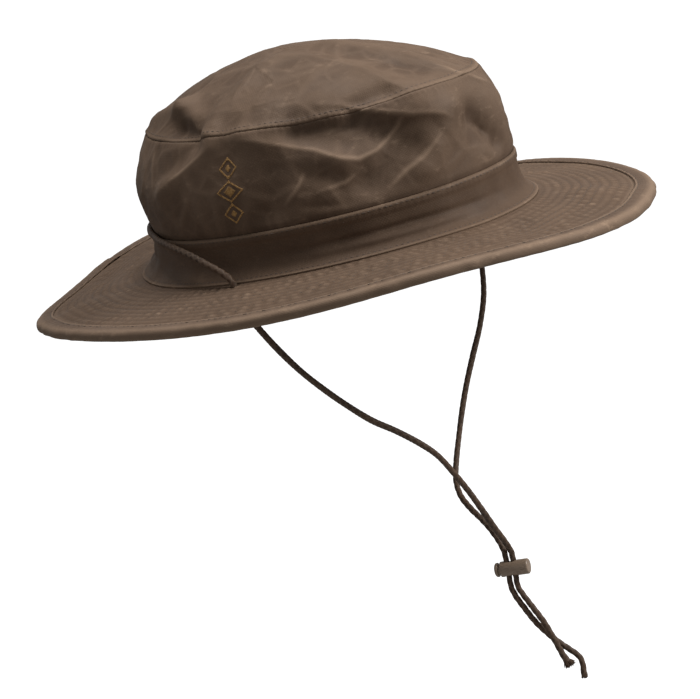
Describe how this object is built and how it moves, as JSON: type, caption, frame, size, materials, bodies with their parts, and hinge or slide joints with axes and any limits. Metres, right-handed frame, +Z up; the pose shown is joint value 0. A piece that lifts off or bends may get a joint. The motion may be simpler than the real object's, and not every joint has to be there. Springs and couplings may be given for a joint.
{
  "type": "bush hat",
  "caption": "Soft waxed cotton bush hat with a creased oval crown, a wide wavy stitched brim with a bound edge, and a chin cord gathered by a barrel cord lock.",
  "frame": {"origin": "centre of the head opening, level with the foot of the crown, where the hat sits on a head", "axes": "+X to the front of the hat, +Y to the wearer's left, +Z up through the crown"},
  "size_m": [0.3314, 0.2984, 0.3445],
  "materials": {
    "waxed_cotton": "waxed, matt, worn lighter along the creases",
    "binding": "waxed, matt, worn along the edge",
    "cord": "dark brown, dull",
    "lock": "satin brown"
  },
  "bodies": {
    "hat": {"crown_tip": "waxed_cotton", "crown_side": "waxed_cotton", "crown_band": "waxed_cotton", "brim": "waxed_cotton", "edge_binding": "binding", "chin_cord_back": "cord", "chin_cord_right": "cord", "chin_cord_left": "cord", "lock_barrel": "lock"},
    "button": {"lock_button": "lock"}
  },
  "joints": [
    {"name": "button_press", "type": "slide", "parent": "hat", "child": "button", "axis": [0.9491, 0.315, -0.004], "range_m": [0, 0.001], "stiffness_N_per_m": 300, "springref_m": -0.001}
  ]
}
